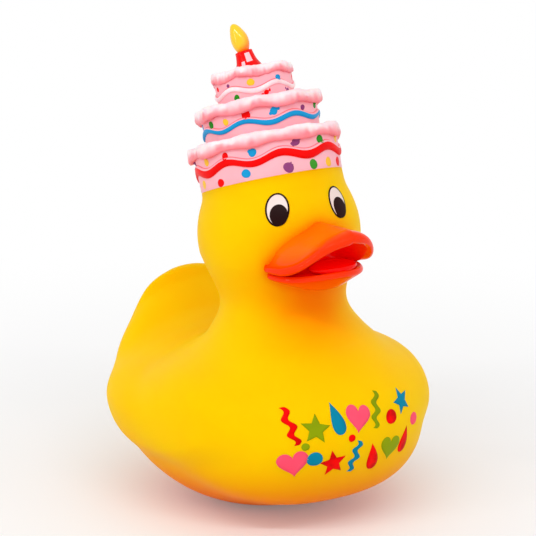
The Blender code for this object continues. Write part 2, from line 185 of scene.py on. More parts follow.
def specksGroup():
    # sparse tiny specks of dust and stray paint
    tree, given, out = floatGroup("straySpecks", {"Size": 300.0, "Amount": 0.1}, ["Mask"])
    where = tree.nodes.new("ShaderNodeTexCoord").outputs["Object"]
    cells = tree.nodes.new("ShaderNodeTexVoronoi")
    fill(tree, cells, {"Vector": where, "Scale": given.outputs["Size"]})
    near = tree.nodes.new("ShaderNodeMapRange")
    fill(tree, near, {"From Min": 0.10, "From Max": 0.04, "Value": cells.outputs["Distance"]})
    pick = fill(tree, tree.nodes.new("ShaderNodeSeparateColor"), {"Color": cells.outputs["Color"]})
    few = reckon(tree, "LESS_THAN", pick.outputs["Red"], given.outputs["Amount"])
    fill(tree, out, {"Mask": reckon(tree, "MULTIPLY", near.outputs["Result"], few)})
    return tree


grain = grainGroup()
specks = specksGroup()


def placeGroup(tree, group, values):
    node = tree.nodes.new("ShaderNodeGroup")
    node.node_tree = group
    return fill(tree, node, values)


def mixColour(tree, factor, low, high):
    # low is a socket or a colour
    node = tree.nodes.new("ShaderNodeMix")
    node.data_type = "RGBA"
    feed(tree, factor, node.inputs[0])
    feed(tree, low, node.inputs[6])
    feed(tree, high, node.inputs[7])
    return node.outputs[2]


def rampValue(tree, value, low, high, toLow=0.0, toHigh=1.0):
    node = tree.nodes.new("ShaderNodeMapRange")
    node.interpolation_type = "SMOOTHSTEP"
    fill(tree, node, {"From Min": low, "From Max": high, "To Min": toLow, "To Max": toHigh, "Value": value})
    return node.outputs["Result"]


# what a finish has unless its own look says otherwise
plainLook = {
    "specular": 0.4, "tint": (1.0, 1.0, 1.0), "coat": 0.0, "coatRoughness": 0.1, "grainSize": 1400.0,
    "mottleSize": 90.0, "mottleEdges": (0.35, 0.65), "spread": 0.12, "bump": 0.15, "bumpDepth": 0.05,
    "glowReach": (1.0, 0.45, 0.1), "speckSize": 260.0, "smoothBy": 0.55, "deepEdges": (1.0, 1.9),
}


def paintFinish(name, ownLook):
    # the piece's "shade" attribute brings in the shaded colour, and the deep one past 1; on the body, cake and
    # flame this is painted shade, on the bill and tongue it marks the lip and mouth paint
    look = {**plainLook, **ownLook}
    for key in ("colour", "second", "shaded", "deep", "speckColour", "tint"):
        if key in look:
            look[key] = (*look[key], 1.0)
    finish = bpy.data.materials.new(name)
    finish.use_nodes = True
    tree = finish.node_tree
    shader = tree.nodes["Principled BSDF"]
    fill(tree, shader, {
        "Specular IOR Level": look["specular"], "Specular Tint": look["tint"],
        "Coat Weight": look["coat"], "Coat Roughness": look["coatRoughness"],
    })
    if "glow" in look:
        fill(tree, shader, {
            "Subsurface Weight": look["glow"], "Subsurface Radius": look["glowReach"],
            "Subsurface Scale": look["glowScale"],
        })
    surface = placeGroup(tree, grain, {
        "Grain Size": look["grainSize"], "Mottle Size": look["mottleSize"],
        "Roughness": look["roughness"], "Roughness Spread": look["spread"],
    })
    mottle = rampValue(tree, surface.outputs["Mottle"], *look["mottleEdges"])
    colour = mixColour(tree, mottle, look["colour"], look["second"])
    roughness = surface.outputs["Roughness"]
    if "shaded" in look:
        shade = tree.nodes.new("ShaderNodeAttribute")
        shade.attribute_name = "shade"
        kept = shade.outputs["Fac"]
        colour = mixColour(tree, rampValue(tree, kept, 0.0, 1.0), colour, look["shaded"])
    if "deep" in look:
        colour = mixColour(tree, rampValue(tree, kept, *look["deepEdges"]), colour, look["deep"])
    if "specks" in look:
        spots = placeGroup(tree, specks, {"Size": look["speckSize"], "Amount": look["specks"]})
        colour = mixColour(tree, spots.outputs["Mask"], colour, look["speckColour"])
    if "shadedRoughness" in look:
        smoother = look["shadedRoughness"] - look["roughness"]
        change = rampValue(tree, kept, 0.0, look["smoothBy"], 0.0, smoother)
        roughness = reckon(tree, "ADD", roughness, change)
    bump = fill(tree, tree.nodes.new("ShaderNodeBump"), {
        "Strength": look["bump"], "Distance": look["bumpDepth"] * mm, "Height": surface.outputs["Height"],
    })
    fill(tree, shader, {"Base Color": colour, "Roughness": roughness, "Normal": bump.outputs["Normal"]})
    return finish


finishLooks = {
    "yellowVinyl": {
        "colour": (1.0, 0.56, 0.0), "second": (1.0, 0.59, 0.0), "shaded": (1.0, 0.17, 0.0), "roughness": 0.5,
        "specular": 0.06, "tint": (1.0, 0.75, 0.2), "glow": 0.35, "glowScale": 0.005, "specks": 0.012,
        "speckColour": (0.8, 0.22, 0.0), "mottleSize": 45.0, "bump": 0.2, "bumpDepth": 0.03,
    },
    "billPaint": {
        "colour": (1.0, 0.15, 0.0), "second": (1.0, 0.17, 0.0), "shaded": (1.0, 0.035, 0.0),
        "deep": (1.0, 0.0, 0.0), "roughness": 0.42, "shadedRoughness": 0.1, "specular": 0.06,
        "tint": (1.0, 0.75, 0.6), "coat": 0.12, "coatRoughness": 0.04, "bump": 0.05, "bumpDepth": 0.02,
        "spread": 0.06,
    },
    "pinkCake": {
        "colour": (1.0, 0.45, 0.51), "second": (1.0, 0.49, 0.55), "shaded": (1.0, 0.15, 0.19),
        "roughness": 0.45, "specular": 0.15, "glow": 0.1, "glowScale": 0.002, "specks": 0.02,
        "speckColour": (0.7, 0.15, 0.22),
    },
    "paleIcing": {
        "colour": (1.0, 0.86, 0.88), "second": (1.0, 0.70, 0.74), "shaded": (1.0, 0.24, 0.28),
        "roughness": 0.38, "specular": 0.2, "glow": 0.15, "glowScale": 0.002, "bump": 0.6, "bumpDepth": 0.22,
        "grainSize": 480.0, "mottleSize": 240.0,
    },
    "candlePaint": {
        "colour": (1.0, 0.0, 0.0), "second": (0.8, 0.0, 0.0), "roughness": 0.22, "specular": 0.1, "coat": 0.08,
    },
    "flamePaint": {
        "colour": (0.96, 0.60, 0.0), "second": (0.96, 0.63, 0.0), "shaded": (1.0, 0.22, 0.0), "roughness": 0.16,
        "specular": 0.3, "coat": 0.5, "coatRoughness": 0.05,
    },
    "printRed": {
        "colour": (1.0, 0.0, 0.0), "second": (0.6, 0.0, 0.0), "roughness": 0.5, "specular": 0.06,
        "mottleSize": 260.0,
    },
}
# flat paints: colour, second colour, roughness, specular
flatPaints = {
    "redPaint": ((1.0, 0.0, 0.0), (0.85, 0.0, 0.0), 0.4, 0.08),
    "bluePaint": ((0.005, 0.33, 0.68), (0.005, 0.29, 0.62), 0.4, 0.12),
    "greenPaint": ((0.01, 0.25, 0.005), (0.06, 0.33, 0.03), 0.4, 0.08),
    "yellowPaint": ((1.0, 0.58, 0.03), (1.0, 0.53, 0.03), 0.4, 0.15),
    "purplePaint": ((0.26, 0.045, 0.18), (0.33, 0.08, 0.24), 0.4, 0.1),
    "palePink": ((1.0, 0.55, 0.60), (1.0, 0.62, 0.66), 0.4, 0.4),
    "eyeWhite": ((0.88, 0.73, 0.69), (0.84, 0.69, 0.65), 0.35, 0.2),
    "eyeBlack": ((0.014, 0.002, 0.002), (0.02, 0.003, 0.003), 0.35, 0.06),
    "printGreen": ((0.27, 0.35, 0.0), (0.23, 0.31, 0.0), 0.5, 0.06),
    "printBlue": ((0.0, 0.24, 0.39), (0.0, 0.21, 0.34), 0.5, 0.06),
    "printPink": ((1.0, 0.07, 0.14), (1.0, 0.09, 0.17), 0.5, 0.06),
}
for name, values in flatPaints.items():
    finishLooks[name] = dict(zip(("colour", "second", "roughness", "specular"), values))
finish = {name: paintFinish(name, look) for name, look in finishLooks.items()}
print("finishes made", len(finish))


# body, neck and head are one moulding
duckShape = {
    "length": 84.0 * mm, "width": 69.0 * mm, "segments": 200, "steps": 10,
    "neckWidth": 28.4 * mm, "neckHeight": 50.5 * mm, "neckForward": 7.4 * mm,
    "headWidth": 39.0 * mm, "headRise": 16.3 * mm, "headForward": 5.1 * mm,
    "headStart": radians(-32.0), "headNext": radians(-20.0), "headStep": radians(2.0),
    "headEnd": radians(87.0), "ventSides": 32,
    "ventWidth": 4.0 * mm, "ventForward": 1.0 * mm, "wall": 2.0 * mm,
    "neckEased": 60, "neckMiddle": 2.5 * mm, "neckReach": 9.0 * mm,
    # upper y, z, lower y, z, half width, squareness of the lower half, level of the widest place
    "sections": [
        (0.92, 0.955, 0.975, 0.873, 0.18, 2.0, 0.50),
        (0.88, 0.95, 0.975, 0.72, 0.37, 2.0, 0.50),
        (0.83, 0.902, 0.91, 0.437, 0.55, 2.0, 0.50),
        (0.76, 0.854, 0.73, 0.252, 0.72, 2.0, 0.52),
        (0.67, 0.795, 0.47, 0.104, 0.85, 2.0, 0.56),
        (0.58, 0.766, 0.18, 0.0, 0.94, 2.0, 0.60),
        (0.51, 0.752, -0.15, -0.012, 0.99, 2.1, 0.62),
        (0.46, 0.742, -0.49, 0.07, 1.0, 2.2, 0.62),
        (0.41, 0.742, -0.79, 0.178, 0.98, 2.4, 0.60),
        (0.36, 0.752, -0.96, 0.40, 0.93, 2.2, 0.56),
        (0.31, 0.776, -0.935, 0.61, 0.84, 2.0, 0.50),
        (0.24, 0.83, -0.74, 0.815, 0.62, 2.0, 0.50),
        (0.20, 0.90, -0.62, 0.895, 0.52, 2.0, 0.50),
    ],
}
wingShape = {
    "length": 56.0 * mm, "height": 23.0 * mm, "rise": 2.6 * mm, "forward": 2.0 * mm,
    "level": 27.5 * mm, "tilt": radians(-4.0), "edge": 0.46,
}
headRadius = duckShape["headWidth"] / 2
headCentre = Vector((0.0, -duckShape["headForward"], duckShape["neckHeight"] + duckShape["headRise"]))


hatShape = {
    "tilt": radians(21.0), "depth": 7.3 * mm, "shift": 1.2 * mm, "root": 3.0 * mm, "overlap": 1.0 * mm,
    "taper": 0.3 * mm, "piping": 0.5 * mm, "sag": 0.35 * mm, "ripple": 0.3 * mm, "segments": 300,
    "swell": 0.7 * mm, "swellDepth": 9.0 * mm, "inset": 0.5 * mm,
    # how far the icing's lumps move its rim, its fold and its crown
    "lump": 0.12 * mm, "fold": 0.108 * mm, "slope": 0.14, "crownLump": 0.16 * mm,
    # paint of the dots: heights over the wall, how deep it starts
    "dotRise": 0.03 * mm, "smearRise": 0.045 * mm, "dotSink": 0.2 * mm,
}
tierShapes = [
    {"name": "bottomTier", "wall": 7.9, "icing": 3.0, "radius": 17.0, "rim": 18.5, "waves": 8, "drips": 9,
     "level": 4.6, "swing": 0.75, "band": 1.9, "crest": -19.0, "paint": "redPaint"},
    {"name": "middleTier", "wall": 5.6, "icing": 3.0, "radius": 13.7, "rim": 15.3, "waves": 7, "drips": 8,
     "level": 2.6, "swing": 0.65, "band": 1.22, "crest": -46.0, "paint": "bluePaint"},
    {"name": "topTier", "wall": 5.4, "icing": 2.4, "radius": 9.1, "rim": 9.9, "waves": 5, "drips": 6,
     "level": 2.3, "swing": 0.7, "band": 0.9, "crest": -66.0, "paint": "paleIcing"},
]
hatPlace = Matrix.Translation(headCentre) @ Matrix.Rotation(-hatShape["tilt"], 4, "X")
hatPlace = hatPlace @ Matrix.Translation((0.0, -hatShape["shift"], headRadius - hatShape["depth"]))
hatBack = hatPlace.inverted()


def fullHead(point):
    # the head swells to meet the cake's lower edge in one slope
    local = hatBack @ point
    deep = hatShape["swellDepth"]
    if local.z < -deep or local.z > 1.2 * mm:
        return point
    radius = hypot(local.x, local.y)
    wall = tierShapes[0]["radius"] * mm - 0.1 * mm
    fuller = (radius + wall + sqrt((radius - wall) ** 2 + hatShape["swell"] ** 2)) / 2
    scale = 1.0 + (fuller - radius) / radius * eased((local.z + deep) / (0.7 * deep))
    return hatPlace @ Vector((local.x * scale, local.y * scale, local.z))


def sectionRing(section, segments):
    upperY, upperZ, lowerY, lowerZ, halfWidth, square, widest = section
    upper, lower = Vector((0.0, upperY, upperZ)), Vector((0.0, lowerY, lowerZ))
    centre = lower.lerp(upper, widest)
    ring = []
    for k in range(segments):
        angle = tau * k / segments
        along, across = cos(angle), sin(angle)
        reach = upper - centre
        if along < 0.0:
            reach = centre - lower
            along = -(abs(along) ** (2.0 / square))
            across = copysign(abs(across) ** (2.0 / square), across)
        ring.append(centre + reach * along + Vector((halfWidth * across, 0.0, 0.0)))
    return ring


def wingRise(point):
    wing = wingShape
    along, above = point.y + wing["forward"], point.z - wing["level"]
    turned = cos(wing["tilt"]), sin(wing["tilt"])
    u = (along * turned[0] + above * turned[1]) / (wing["length"] / 2)
    v = (above * turned[0] - along * turned[1]) / (wing["height"] / 2)
    inside = eased((1.0 + wing["edge"] / 2 - hypot(u, v)) / wing["edge"])
    flank = eased((abs(point.x) / (duckShape["width"] / 2) - 0.4) / 0.4)
    fullness = sqrt(max(1.0 - 0.45 * (u * u + v * v), 0.0))
    return Vector((copysign(wing["rise"] * inside * flank * fullness, point.x), 0.0, 0.0))


def duckSections():
    shape = duckShape
    half, tall = shape["length"] / 2, shape["neckHeight"]
    rows = [
        (y1 * half, z1 * tall, y2 * half, z2 * tall, w * shape["width"] / 2, square, widest)
        for y1, z1, y2, z2, w, square, widest in shape["sections"]
    ]

    def roundRow(radius, level, forward):
        return radius - forward, level, -radius - forward, level, radius, 2.0, 0.5

    def headRow(angle):
        radius, level = headRadius * cos(angle), headCentre.z + headRadius * sin(angle)
        return roundRow(radius, level, shape["headForward"])

    rows.append(roundRow(shape["neckWidth"] / 2, tall, shape["neckForward"]))
    rows += [headRow(shape["headStart"]), headRow(shape["headNext"])]
    smooth = curveThrough(rows, shape["steps"])[:-shape["steps"]]
    angle = shape["headStart"]
    while angle < shape["headEnd"] - shape["headStep"]:
        angle += shape["headStep"]
        smooth.append(headRow(angle))
    for _ in range(shape["neckEased"]):
        rows = list(smooth)
        for index in range(1, len(rows) - 1):
            if abs(rows[index][3] - tall - shape["neckMiddle"]) < shape["neckReach"]:
                nearby = zip(rows[index - 1], rows[index], rows[index + 1])
                smooth[index] = [(a + 2 * b + c) / 4 for a, b, c in nearby]
    return smooth


def makeDuck():
    shape = duckShape
    rings = []
    for section in duckSections():
        ring = sectionRing(section, shape["segments"])
        rings.append([fullHead(point + wingRise(point)) for point in ring])
    tail = sum(rings[0], Vector()) / shape["segments"]
    tail.y += shape["wall"] / 2
    points, faces, rows = skinOver(rings, tail, headCentre + Vector((0.0, 0.0, headRadius)))
    piece = makePiece("duckBody", points, faces, [finish["yellowVinyl"]])
    work = bmesh.new()
    work.from_mesh(piece.data)
    cut = bmesh.ops.bisect_plane(
        work, geom=work.verts[:] + work.edges[:] + work.faces[:],
        plane_co=(0.0, 0.0, 0.0), plane_no=(0.0, 0.0, -1.0), clear_outer=True,
    )
    rim = [item for item in cut["geom_cut"] if isinstance(item, bmesh.types.BMEdge)]
    vent, sides, radius = [], shape["ventSides"], shape["ventWidth"] / 2
    for k in range(sides):
        turn = tau * k / sides
        vent.append(work.verts.new((radius * cos(turn), radius * sin(turn) - shape["ventForward"], 0.0)))
    edges = [work.edges.new((vent[k], vent[(k + 1) % sides])) for k in range(sides)]
    bmesh.ops.bridge_loops(work, edges=rim + edges)
    grown = bmesh.ops.extrude_edge_only(work, edges=edges)["geom"]
    lifted = [item for item in grown if isinstance(item, bmesh.types.BMVert)]
    bmesh.ops.translate(work, verts=lifted, vec=(0.0, 0.0, shape["wall"]))
    closed = [item for item in grown if isinstance(item, bmesh.types.BMEdge)]
    bmesh.ops.contextual_create(work, geom=closed)
    bmesh.ops.recalc_face_normals(work, faces=work.faces)
    work.to_mesh(piece.data)
    work.free()
    piece.data.shade_smooth()
    return piece


duckBody = makeDuck()
print("body made", len(duckBody.data.polygons))


billShape = {
    "sink": 2.5 * mm, "aside": -0.6 * mm, "halfWidth": 13.2 * mm, "reach": 15.4 * mm, "buried": 7.0 * mm,
    "cornerAngle": radians(100.0), "rootAbove": 6.8 * mm, "rootFall": 0.3, "rootBelow": 9.0 * mm,
    "crestFront": 1.3 * mm, "crestCorner": -2.3 * mm, "arch": 6.3 * mm, "archSpread": radians(50.0),
    "archTurn": radians(5.0), "lipThick": 3.4 * mm, "lipThin": 2.4 * mm, "lowFront": -3.0 * mm,
    "lowCorner": -4.7 * mm, "chinThick": 2.2 * mm, "chinThin": 1.3 * mm, "chinFront": 0.72, "chinCorner": 0.93,
    "slit": 0.35 * mm, "depthFront": 0.3, "depthCorner": 0.75, "segments": 220, "steps": 5,
    "tongue": {"middle": (0.2 * mm, -28.8 * mm, 64.1 * mm), "half": (6.2 * mm, 4.0 * mm, 1.6 * mm),
               "rows": 12, "sides": 40, "shade": 1.8},
}


def billColumn(angle):
    # share of the reach, height, how much lip paint
    bill = billShape
    side = min(abs(angle) / bill["cornerAngle"], 1.0)
    turned = abs(angle - bill["archTurn"])
    crest = mixed(bill["crestFront"], bill["crestCorner"], min(turned / bill["cornerAngle"], 1.0) ** 0.8)
    crest += bill["arch"] * exp(-((turned / bill["archSpread"]) ** 3))
    lip = mixed(bill["lipThick"], bill["lipThin"], side ** 0.6)
    low = mixed(bill["lowFront"], bill["lowCorner"], eased(side))
    brim = max(crest - lip, low + bill["slit"])
    gap = brim - low
    depth = mixed(bill["depthFront"], bill["depthCorner"], eased(side))
    share = mixed(bill["chinFront"], bill["chinCorner"], eased(side) ** 1.6)
    chin = mixed(bill["chinThick"], bill["chinThin"], side ** 2)
    root = bill["rootAbove"] * (1.0 - bill["rootFall"] * side ** 2)
    under = -bill["rootBelow"]
    return [
        (0.22, mixed(root, crest, 0.05), 0.0),
        (0.48, mixed(root, crest, mixed(0.28, 0.2, side)), 0.0),
        (0.72, mixed(root, crest, mixed(0.75, 0.5, side)), 0.1),
        (0.88, crest, 0.6),
        (0.97, crest - 0.18 * lip, 0.9),
        (1.00, crest - 0.55 * lip, 1.0),
        (0.95, mixed(crest, brim, 0.92), 1.0),
        (mixed(depth, 0.95, 0.5), brim, 1.6),
        (depth, mixed(brim, low, 0.4), 2.0),
        (depth - 0.02, mixed(brim, low, 0.75), 2.0),
        (mixed(depth, share, 0.5), low - 0.1 * gap, 1.7),
        (share - 0.03, low, 1.1),
        (share, low - 0.5 * chin, 0.9),
        (share - 0.06, low - chin, 0.6),
        (0.45, mixed(low - chin, under, 0.75), 0.4),
        (0.22, under, 0.4),
    ]


def makeBill():
    bill = billShape
    pole = headCentre + Vector((bill["aside"], bill["sink"] - headRadius, 0.0))
    columns, shades = [], []
    for k in range(bill["segments"]):
        angle = tau * (k + 0.5) / bill["segments"] - pi
        forward = bill["reach"] if cos(angle) > 0.0 else bill["buried"]
        heading = Vector((bill["halfWidth"] * sin(angle), -forward * cos(angle), 0.0))
        column = curveThrough(billColumn(angle), bill["steps"])
        columns.append([pole + heading * share + Vector((0.0, 0.0, level)) for share, level, shade in column])
        shades.append([shade for share, level, shade in column])
    rings = [list(row) for row in zip(*columns)]
    shade = [value for row in zip(*shades) for value in row] + [0.0, 0.3]
    top = pole + Vector((0.0, 0.0, bill["rootAbove"]))
    bottom = pole - Vector((0.0, 0.0, bill["rootBelow"]))
    points, faces, rows = skinOver(rings, top, bottom)
    return makePiece("openBill", points, faces, [finish["billPaint"]], shade=shade)


def makeTongue():
    # low soft mound in the mouth
    tongue = billShape["tongue"]
    middle, half = Vector(tongue["middle"]), tongue["half"]
    rings = []
    for k in range(1, tongue["rows"]):
        turn = pi * k / tongue["rows"]
        wide, level = sin(turn), half[2] * cos(turn)
        rings.append([
            middle + Vector((half[0] * wide * cos(a), half[1] * wide * sin(a), level))
            for a in (tau * j / tongue["sides"] for j in range(tongue["sides"]))
        ])
    rise = Vector((0.0, 0.0, half[2]))
    points, faces, rows = skinOver(rings, middle + rise, middle - rise)
    shade = [tongue["shade"]] * len(points)
    return makePiece("tongue", points, faces, [finish["billPaint"]], shade=shade)


openBill = makeBill()
makeTongue()


eyeShape = {
    "width": 5.8 * mm, "height": 8.3 * mm, "rim": 0.45 * mm, "pupilWidth": 4.3 * mm, "pupilHeight": 5.2 * mm,
    "pupilDrop": 1.4 * mm, "segments": 72, "rise": 0.05 * mm,
    "sink": 0.1 * mm, "rings": 12, "ringStep": 0.08,
    # printed a little unevenly: yaw, pitch and lean of each
    "places": {"right": (-32.6, 31.0, 1.0), "left": (24.3, 31.0, 20.0)}, "aside": 0.4 * mm,
}


def eyeLayer(name, label, width, height, aside, drop, rise, paint):
    eye = eyeShape
    yaw, pitch, lean = (radians(angle) for angle in eye["places"][label])
    place = Matrix.Rotation(yaw, 4, "Z") @ Matrix.Rotation(-pitch, 4, "X") @ Matrix.Rotation(lean, 4, "Y")
    place = Matrix.Translation(headCentre) @ place
    rings = []
    for share, lift in [(1.0, -eye["sink"])] + [(1.0 - eye["ringStep"] * k, rise) for k in range(eye["rings"])]:
        ring = []
        for k in range(eye["segments"]):
            angle = tau * k / eye["segments"]
            across = share * width / 2 * cos(angle) + aside
            above = share * height / 2 * sin(angle) - drop
            ring.append(Vector((across, -headRadius, above)).normalized() * (headRadius + lift))
        rings.append(ring)
    middle = Vector((aside, -headRadius, -drop)).normalized()
    points, faces, rows = skinOver(rings, middle * (headRadius - eye["sink"]), middle * (headRadius + rise))
    return makePiece(name, [fullHead(place @ point) for point in points], faces, [paint])


def makeEyes():
    eye = eyeShape
    width, height, rim, rise = eye["width"], eye["height"], 2 * eye["rim"], eye["rise"]
    for label in eye["places"]:
        eyeLayer(f"{label}EyeOutline", label, width, height, 0.0, 0.0, rise, finish["eyeBlack"])
        eyeLayer(f"{label}EyeWhite", label, width - rim, height - rim, 0.0, 0.0, 2 * rise, finish["eyeWhite"])
        eyeLayer(
            f"{label}EyePupil", label, eye["pupilWidth"], eye["pupilHeight"], eye["aside"], eye["pupilDrop"],
            3 * rise, finish["eyeBlack"],
        )


makeEyes()
print("bill and eyes made")


def tierFoot(index):
    return sum(tier["wall"] + tier["icing"] for tier in tierShapes[:index]) * mm


def lumps(turn, seed):
    # uneven lumps of hand-piped icing, about -1 to 1
    waves = ((7, 0.25), (11, 0.3), (17, 0.3), (26, 0.25), (41, 0.2), (59, 0.12))
    return sum(size * sin(count * turn + seed * (1.7 + 0.31 * count)) for count, size in waves)


def makeTier(index):
    hat, tier = hatShape, tierShapes[index]
    foot = tierFoot(index)
    root = -hat["root"] if index == 0 else foot - hat["overlap"]
    eave = foot + tier["wall"] * mm
    thick = tier["icing"] * mm
    top = eave + thick
    columns, shades = [], []
    for k in range(hat["segments"]):
        turn = tau * k / hat["segments"]
        heading = Vector((sin(turn), -cos(turn), 0.0))
        wave = cos(tier["waves"] * (turn - radians(tier["crest"])))
        drip = cos(tier["drips"] * turn + index) + 0.5 * lumps(turn, index + 1)
        lump = hat["lump"] * lumps(turn, index + 1)
        fold = hat["fold"] * (1.0 + lumps(turn, index + 9))
        slope = hat["slope"] * lumps(turn, index + 14)
        # painted shade, uneven round the tier: deeper pink in the hollows of the icing
        unevenShade = max(0.0, lumps(turn, index + 20))
        ripple = hat["ripple"] * cos(tier["drips"] * turn - index)
        piping = foot + (tier["level"] + tier["swing"] * wave) * mm
        wall, rim = tier["radius"] * mm, tier["rim"] * mm + ripple + lump
        band = tier["band"] / 2 * mm * (1.0 + 0.14 * sin(3 * turn + 1.0 + index))
        taper, relief = hat["taper"], hat["piping"]
        side, sill, ridge = wall + taper / 2, piping - band, piping + band
        low = eave - hat["sag"] * drip
        crown = top + ripple / 2 + hat["crownLump"] * lumps(turn, index + 5)
        inner = wall - hat["inset"] if index == 0 else wall
        # radius, level, shade; the shade is a salmon wash along the icing's lower edge and painted shade under
        # its overhang, at the tier's foot and in the creases by the piping
        column = [
            (inner, root, 0.0),
            (inner, foot - 0.15 * mm, 0.0),
            (wall - 0.08 * mm, foot - 0.02 * mm, 0.25),
            (wall, foot + 0.12 * mm, 0.0),
            (wall + taper * 0.2, mixed(foot, sill, 0.5), 0.0),
            (side, sill - 0.35 * mm, 0.0),
            (side, sill - 0.08 * mm, 0.45),
            (side + relief * 0.6, sill, 0.0),
            (side + relief * 0.95, piping - band * 0.4, 0.0),
            (side + relief, piping + band * 0.2, 0.0),
            (side + relief * 0.9, piping + band * 0.75, 0.0),
            (side + relief * 0.8, ridge, 0.0),
            (side + relief * 0.6, ridge + 0.14 * mm, 0.0),
            (side, ridge + 0.26 * mm, 0.9),
            (side, ridge + 0.34 * mm, 0.9),
            (side, ridge + 0.48 * mm, 0.0),
            (wall + taper * 0.8, mixed(ridge + 0.6 * mm, low, 0.5), 0.0),
            (wall + taper, mixed(ridge + 0.6 * mm, low, 0.82), 0.3),
            (wall + taper, low, 1.0),
            (mixed(wall, rim, 0.45), low - 0.06 * thick, 1.0),
            (mixed(wall, rim, 0.75), low - 0.08 * thick, 0.95),
            (mixed(wall, rim, 0.94), low + 0.04 * thick, 0.9),
            (rim, low + 0.24 * thick, 0.7 + 0.3 * unevenShade),
            (rim - fold, mixed(low, crown, 0.52 + slope), 0.3 + 0.35 * unevenShade),
            (rim - 0.04 * thick, crown - (0.26 - slope / 3) * thick, 0.12 * unevenShade),
            (rim - 0.16 * thick, crown - 0.05 * thick, 0.0),
            (rim - 0.45 * thick, crown, 0.0),
            (rim - 0.7 * thick, crown - 0.05 * thick, 0.0),
            (rim - 0.9 * thick, crown - 0.18 * thick, 0.3 + 0.3 * unevenShade),
            (rim - 1.3 * thick, top - 0.2 * thick, 0.0),
        ]
        columns.append([heading * radius + Vector((0.0, 0.0, level)) for radius, level, shade in column])
        shades.append([shade for radius, level, shade in column])
    rings = [list(row) for row in zip(*columns)]
    shade = [value for row in zip(*shades) for value in row] + [0.0, 0.0]
    end = Vector((0.0, 0.0, top - 0.2 * thick))
    points, faces, rows = skinOver(rings, Vector((0.0, 0.0, root)), end)
    # 0 pink, 1 piping paint, 2 icing, by rows from the foot
    bands = [0] * 7 + [1] * 4 + ([2] * 2 if index == 2 else [0] * 2) + [0] * 6 + [2] * 12
    names = ["pinkCake", tier["paint"], "paleIcing"]
    return makePiece(
        tier["name"], points, faces, [finish[name] for name in names],
        faceFinish=[bands[row] for row in rows], place=hatPlace, shade=shade,
    )


for index in range(len(tierShapes)):
    makeTier(index)


# dots round the tiers: turn from the front in degrees, level, radius in mm, colour
dotRows = [
    (0, [(-99, 1.7, 1.05, "Y"), (-74.3, 1.0, 1.0, "R"), (-49.3, 1.8, 1.08, "B"), (-15, 1.35, 1.25, "P"),
         (7.2, 1.25, 1.15, "G"), (24.6, 1.4, 1.1, "Y"), (41, 1.4, 1.1, "R"), (66, 1.7, 1.1, "B"),
         (91, 1.2, 1.1, "P"), (116, 1.6, 1.0, "G"), (141, 1.2, 1.1, "Y"), (166, 1.6, 1.1, "R"),
         (191, 1.3, 1.05, "B"), (214, 1.6, 1.15, "P"), (237, 1.2, 1.05, "G")]),
    (0, [(-86.5, 6.6, 0.95, "Y"), (-64.6, 6.8, 0.88, "R"), (-41, 6.3, 0.98, "B"), (-5.6, 7.0, 0.95, "P"),
         (18.3, 6.9, 1.05, "G"), (43.7, 6.9, 0.95, "Y"), (69, 6.6, 0.95, "R"), (94, 6.9, 0.95, "B"),
         (119, 6.7, 0.95, "P"), (144, 6.9, 0.95, "G"), (169, 6.6, 0.95, "Y"), (194, 6.9, 0.9, "R"),
         (219, 6.7, 1.0, "B"), (246, 6.8, 0.95, "P")]),
    (1, [(-87.2, 4.3, 0.9, "G"), (-66, 4.0, 0.8, "Y"), (-43.2, 4.7, 1.1, "R"), (-15.6, 4.4, 0.95, "B"),
         (17.8, 4.3, 0.68, "P"), (41, 4.7, 0.85, "G"), (66, 4.2, 0.85, "Y"), (92, 4.5, 0.95, "R"),
         (118, 4.2, 0.85, "B"), (144, 4.5, 0.85, "P"), (170, 4.3, 0.9, "G"), (197, 4.5, 0.85, "Y"),
         (222, 4.2, 0.95, "R"), (247, 4.5, 0.9, "B")]),
    (2, [(-70.9, 4.1, 0.42, "P"), (-34.1, 3.8, 0.88, "Y"), (9.6, 4.0, 0.7, "B"), (52, 3.9, 0.7, "R"),
         (95, 4.1, 0.7, "G"), (138, 3.9, 0.65, "P"), (180, 4.1, 0.75, "Y"), (222, 3.9, 0.7, "B"),
         (262, 4.0, 0.6, "R")]),
    (2, [(-59.7, 0.8, 0.78, "G"), (-13.5, 0.8, 0.62, "R"), (26.2, 0.8, 0.5, "P"), (70, 0.8, 0.65, "Y"),
         (112, 0.8, 0.65, "B"), (155, 0.8, 0.65, "G"), (198, 0.8, 0.65, "R"), (240, 0.8, 0.65, "Y")]),
]
# second, slipped touches of the same paint: tier, turn, level, radius, colour
smears = [
    (0, -2.9, 7.45, 0.42, "P"), (0, -8.3, 6.6, 0.5, "P"), (0, -12.6, 2.35, 0.22, "P"), (0, -11.4, 1.9, 0.16, "P"),
    (0, -43.5, 6.75, 0.4, "B"), (1, -11.6, 4.9, 0.5, "B"), (1, -19.2, 3.95, 0.42, "B"), (1, -9.0, 5.2, 0.2, "B"),
    (2, -8.0, 1.25, 0.3, "R"), (2, -19.5, 0.5, 0.3, "R"), (2, 22.0, 1.25, 0.22, "P"), (0, 121.5, 6.3, 0.4, "P"),
    (1, 121.0, 4.6, 0.4, "B"), (0, 168.5, 2.1, 0.35, "R"),
]
dotPaints = {
    "Y": ("yellowPaint", "flame_paint"), "R": ("redPaint", "red_paint"), "B": ("bluePaint", "eye_print"),
    "P": ("purplePaint", "eye_print"), "G": ("greenPaint", "eye_print"),
}


def roundOutline(radius, seed, uneven=0.06, count=28):
    outline = []
    for k in range(count):
        a = tau * k / count
        r = radius * (1.0 + uneven * sin(2 * a + seed) + uneven / 2 * sin(3 * a + 2 * seed))
        outline.append((r * cos(a), r * sin(a)))
    return outline


def tierTree(index):
    mesh = bpy.data.objects[tierShapes[index]["name"]].data
    return BVHTree.FromPolygons(
        [hatBack @ vertex.co for vertex in mesh.vertices], [tuple(face.vertices) for face in mesh.polygons])


